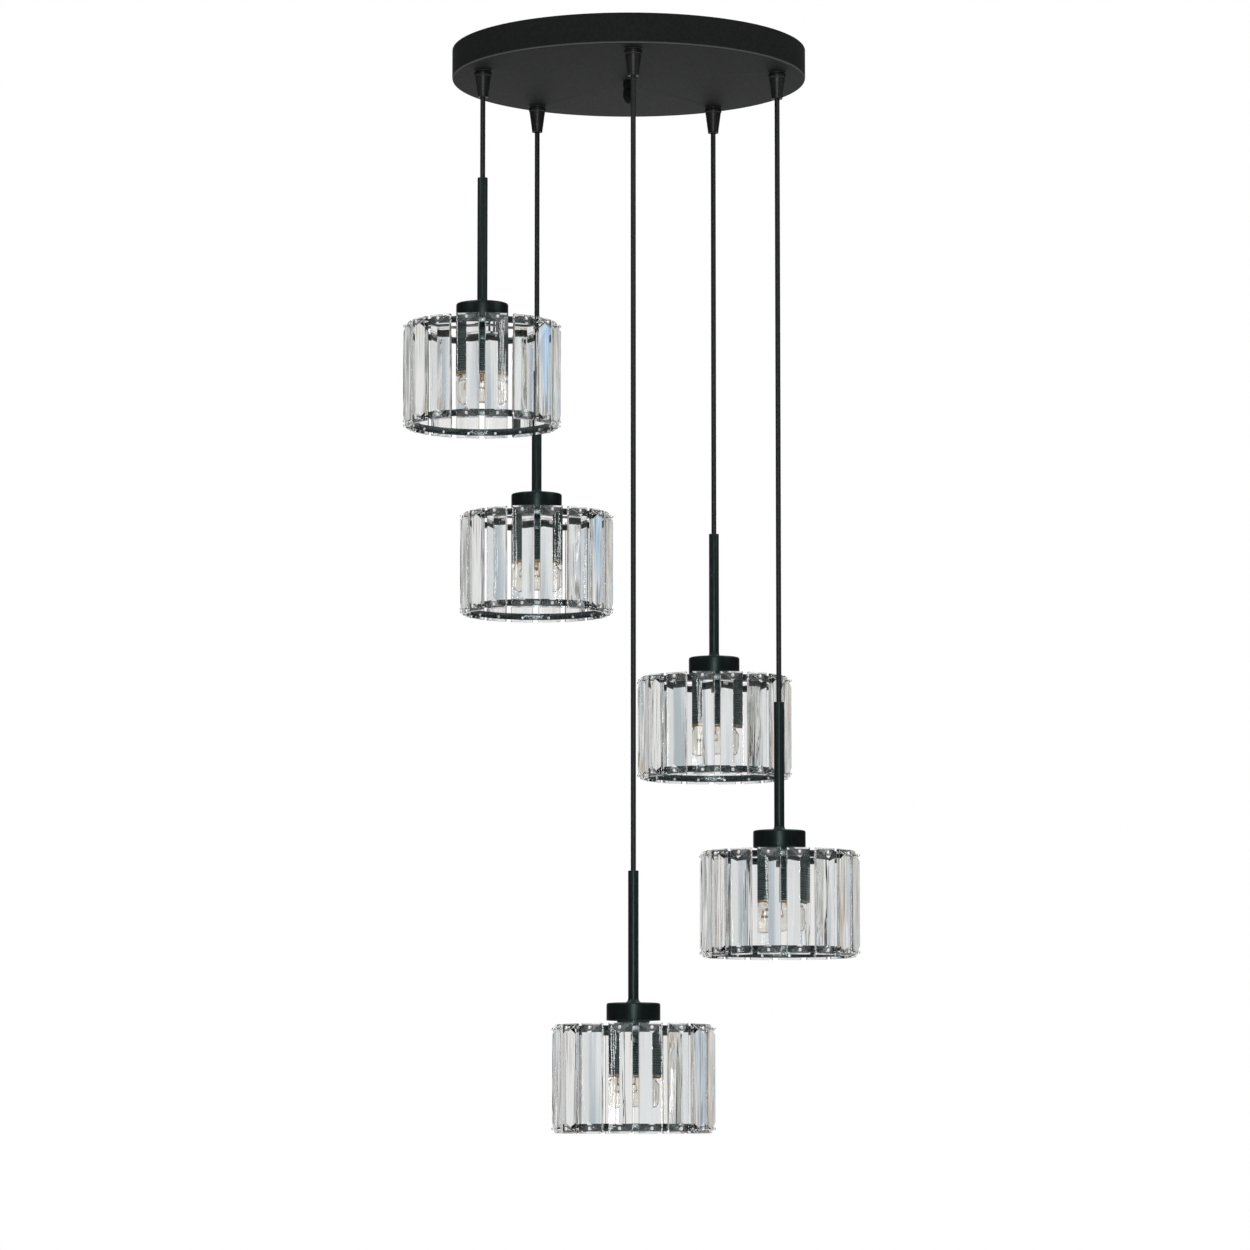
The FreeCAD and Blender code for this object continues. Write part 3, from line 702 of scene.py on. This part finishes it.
def bracket():
    """Steel strap against the ceiling, with a round-ended screw slot towards each end."""
    strap = block("strap", (-STRAP_HALF_WIDTH, -STRAP_HALF_LENGTH, -STRAP_THICKNESS),
                  (STRAP_HALF_WIDTH, STRAP_HALF_LENGTH, 0), ZINC, 0.4)
    for y in (-SLOT_PLACE, SLOT_PLACE):
        low, high = (-SLOT_RADIUS, y - SLOT_REACH, -4), (SLOT_RADIUS, y + SLOT_REACH, 2)
        strap = cut(strap, block("slot", low, high, ZINC))
        for side in (-1, 1):
            end = rod("end", SLOT_RADIUS, -4, 2, ZINC)
            end.matrix_basis = Matrix.Translation(Vector((0, y + side * SLOT_REACH, 0)) * MM)
            strap = cut(strap, end)
    smooth(strap.data, 35)
    stands_for(strap, "canopy_body", "ceiling_bracket")


def stud_and_nuts():
    """Threaded stud under the bracket with its lock nut, and the nuts on the grips' threads."""
    top, foot = -STRAP_THICKNESS, -40
    core = lathe("core", filleted([(0, foot), (3.0, foot), (3.35, foot + 0.8), (3.35, top), (0, top)],
                                  0.2, 2), ZINC, 32)
    stud = joined("threaded_stud", core, threaded("screw", -2.6, -39.6, 3.3, 4.0, 1.25, ZINC, 32, 6))
    smooth(stud.data, 45)
    stands_for(stud, "canopy_body", "bracket_stud")
    stands_for(hex_nut("lock_nut", 13, -9, top, 4.1), "canopy_body", "stud_nut")
    plate = -CANOPY_DEPTH + CANOPY_SHEET
    nuts = [hex_nut("grip_nut", 14, plate, plate + 4, 5.0) for _ in PLACES]
    for nut, (x, y) in zip(nuts, PLACES):
        nut.location = (x, y, 0)
    whole = joined("grip_nut_set", *nuts)
    smooth(whole.data, 25)
    stands_for(whole, "canopy_body", "grip_nuts")


def junction_block():
    """Stepped block with a screw above each way in."""
    x, y, deep, top, low, step = BLOCK_HALF_LENGTH, BLOCK_Y, BLOCK_HALF_DEPTH, -STRAP_THICKNESS, -15.5, 3.5
    wide = block("wide", (-x, y - deep, low + step), (x, y + deep, top), BLOCK_PLASTIC, 0.8)
    narrow = block("narrow", (-x, y - deep + step, low), (x, y + deep - step, low + step + 1),
                   BLOCK_PLASTIC, 0.8)
    parts = [wide, narrow]
    for k in (-12, 0, 12):
        for side in (-1, 1):
            head = lathe("screw", [(0, -0.5), (1.9, -0.5), (1.9, 0.2), (1.5, 0.5), (0, 0.5)], BRASS, 20)
            head.matrix_basis = Matrix.Translation(Vector((k, y + side * 7.2, low + step)) * MM)
            parts.append(head)
    whole = joined("junction_block", *parts)
    smooth(whole.data, 35)
    stands_for(whole, "canopy_body", "terminal_block")


def cord_ends():
    """Inner ends of the cords: up through the grip, round one bend and level into the block."""
    level, bend = -9.3, 12.0
    for i, (x, y) in zip(PENDANTS, PLACES):
        place = Vector((x, y, 0)) / MM
        aside = abs(place.x) > BLOCK_HALF_LENGTH
        run = Vector((math.copysign(BLOCK_WAY_IN, x) if aside else 0, BLOCK_Y, 0)) - place
        run *= max((abs(place.x) - BLOCK_HALF_LENGTH) / abs(run.x) if aside else 0,
                   (abs(place.y - BLOCK_Y) - BLOCK_HALF_DEPTH) / abs(run.y))
        along = run.normalized()
        route = [place + Vector((0, 0, z)) for z in (-52.2, level - 2 * bend, level)]
        route += [place + way + Vector((0, 0, level)) for way in (along * 2 * bend, run)]
        points = spline_points([v * MM for v in route], 12)
        obj = tube(f"cord_end_{i}", points, CORD_DIAMETER / 2 * MM, CORD_SHEATH, 20)
        stands_for(obj, "canopy_body", "cord_tails")


def paint_shells():
    """The brass screw shells stay as they are and get their metal."""
    for i in PENDANTS:
        mesh = frame["nodes"][f"socket_shell_{i}"].data
        mesh.materials.clear()
        mesh.materials.append(BRASS)


# ------------------------------------------------------------ floor, world, lamps and camera
def floor():
    """Wide pale floor far below the lamp, white but for its shadows; it fades out towards its edge."""
    size, level = 9.0, -1.75
    p = Paint("floor", Roughness=0.8, Specular_IOR_Level=0.2)
    p.colour(p.blend(p.noise(0.6, 2.0), (0.86, 0.86, 0.86), (0.88, 0.88, 0.88)))
    away = p.node("VectorMath", p.place, operation="LENGTH").outputs["Value"]
    path = p.node("LightPath").outputs
    seen = p.maths("MAXIMUM", path["Is Camera Ray"], path["Is Glossy Ray"])
    seen = p.maths("MAXIMUM", seen, path["Is Transmission Ray"])
    white = p.node("Emission", Color=(1, 1, 1, 1), Strength=1.0).outputs["Emission"]
    lit = p.mixed(p.maths("MULTIPLY", seen, 0.7), p.shader.outputs["BSDF"], white)
    p.surface(p.mixed(p.range(away, 3.0, 8.0), lit, p.node("BsdfTransparent").outputs["BSDF"]))
    corners = [(s * size, t * size, level) for s, t in ((-1, -1), (1, -1), (1, 1), (-1, 1))]
    mesh_object("floor", corners, [(0, 1, 2, 3)], p.material, scale=1.0)


def world():
    """White backdrop for the camera. Glass sees it with dark and coloured streaks, and the dim room in front
    by light that is turned inside it; gloss sees it behind the lamp and overhead."""
    studio = bpy.data.worlds.new("studio")
    bpy.context.scene.world = studio
    studio.use_nodes = True
    studio.node_tree.nodes.clear()
    n = Nodes(studio.node_tree, "Generated")
    path, aim = n.node("LightPath").outputs, n.node("SeparateXYZ", n.place).outputs

    def light(strength, *colour):
        """Light of one strength, white unless it is given a colour."""
        return n.node("Background", *colour, Color=(1, 1, 1, 1), Strength=strength).outputs["Background"]

    def streaks(scale, *stops):
        """Upright streaks whose colour goes through the stops."""
        return light(1.0, n.ramp(n.noise(scale, 1.5, (1, 1, 0.12)), *stops))

    gloss = n.mixed(n.maths("MAXIMUM", n.range(aim["Y"], 0.90, 0.97), n.range(aim["Z"], 0.35, 0.85)),
                    light(0.06), light(1.0))
    straight = streaks(
        7.0, (0.32, (0.10, 0.09, 0.07)), (0.38, (0.58, 0.55, 0.49)), (0.44, (0.86, 0.86, 0.85)),
        (0.52, (0.78, 0.79, 0.80)), (0.58, (0.88, 0.89, 0.90)), (0.66, (0.46, 0.52, 0.56)))
    bounced = streaks(
        9.0, (0.34, (0.02, 0.018, 0.015)), (0.40, (0.42, 0.32, 0.19)), (0.44, (0.76, 0.74, 0.71)),
        (0.51, (0.86, 0.86, 0.86)), (0.56, (0.28, 0.29, 0.27)), (0.61, (0.76, 0.80, 0.83)),
        (0.68, (0.40, 0.60, 0.82)))
    room = streaks(
        6.0, (0.34, (0.10, 0.10, 0.09)), (0.44, (0.30, 0.31, 0.28)), (0.58, (0.42, 0.43, 0.40)),
        (0.68, (0.60, 0.60, 0.57)))
    inside = n.mixed(n.range(aim["Y"], -0.35, 0.1), room, bounced)
    glass = n.mixed(n.maths("GREATER_THAN", path["Glossy Depth"], 0.5), straight, inside)
    lit = n.mixed(path["Is Glossy Ray"], light(0.35), gloss)
    lit = n.mixed(path["Is Transmission Ray"], lit, glass)
    n.node("OutputWorld", n.mixed(path["Is Camera Ray"], lit, light(1.0)))


def aimed(obj, place, aim):
    """The lamp or camera at its place, turned towards the aim."""
    obj.location = place
    obj.rotation_mode = "QUATERNION"
    obj.rotation_quaternion = (Vector(aim) - Vector(place)).to_track_quat("-Z", "Y")
    return obj


def lamp(name, place, aim, size, power, height=None):
    data = bpy.data.lights.new(name, "AREA")
    data.energy, data.size = power, size
    if height:
        data.shape, data.size_y = "RECTANGLE", height
    aimed(placed(name, data), place, aim)


def lamps():
    """Tall narrow light in front, which barely shows in the crystals' backs, and three soft ones above."""
    lamp("front_box", (0, -4.2, -0.35), (0, 0, -0.35), 0.16, 42, 1.8)
    lamp("high_left", (-2.6, -1.6, 1.6), (0, 0, -0.5), 1.6, 22)
    lamp("high_right", (2.6, -1.0, 1.2), (0, 0, -0.5), 1.6, 18)
    lamp("high_back", (0.9, 1.7, 2.0), (0, 0, -0.4), 1.2, 12)


def camera():
    data = bpy.data.cameras.new("camera")
    data.lens, data.sensor_width = 147.65, 36.0
    place, aim = (-0.143, -5.0, -1.0983), (-0.00367, 0, -0.5723)
    bpy.context.scene.camera = aimed(placed("camera", data), place, aim)


crystals_and_pins()
bands()
holder()
bulb()
cap_and_stem()
cords()
canopy()
grips()
cap_nut()
bracket()
stud_and_nuts()
junction_block()
cord_ends()
paint_shells()
floor()
world()
lamps()
camera()
bpy.context.scene.view_settings.view_transform = "Standard"
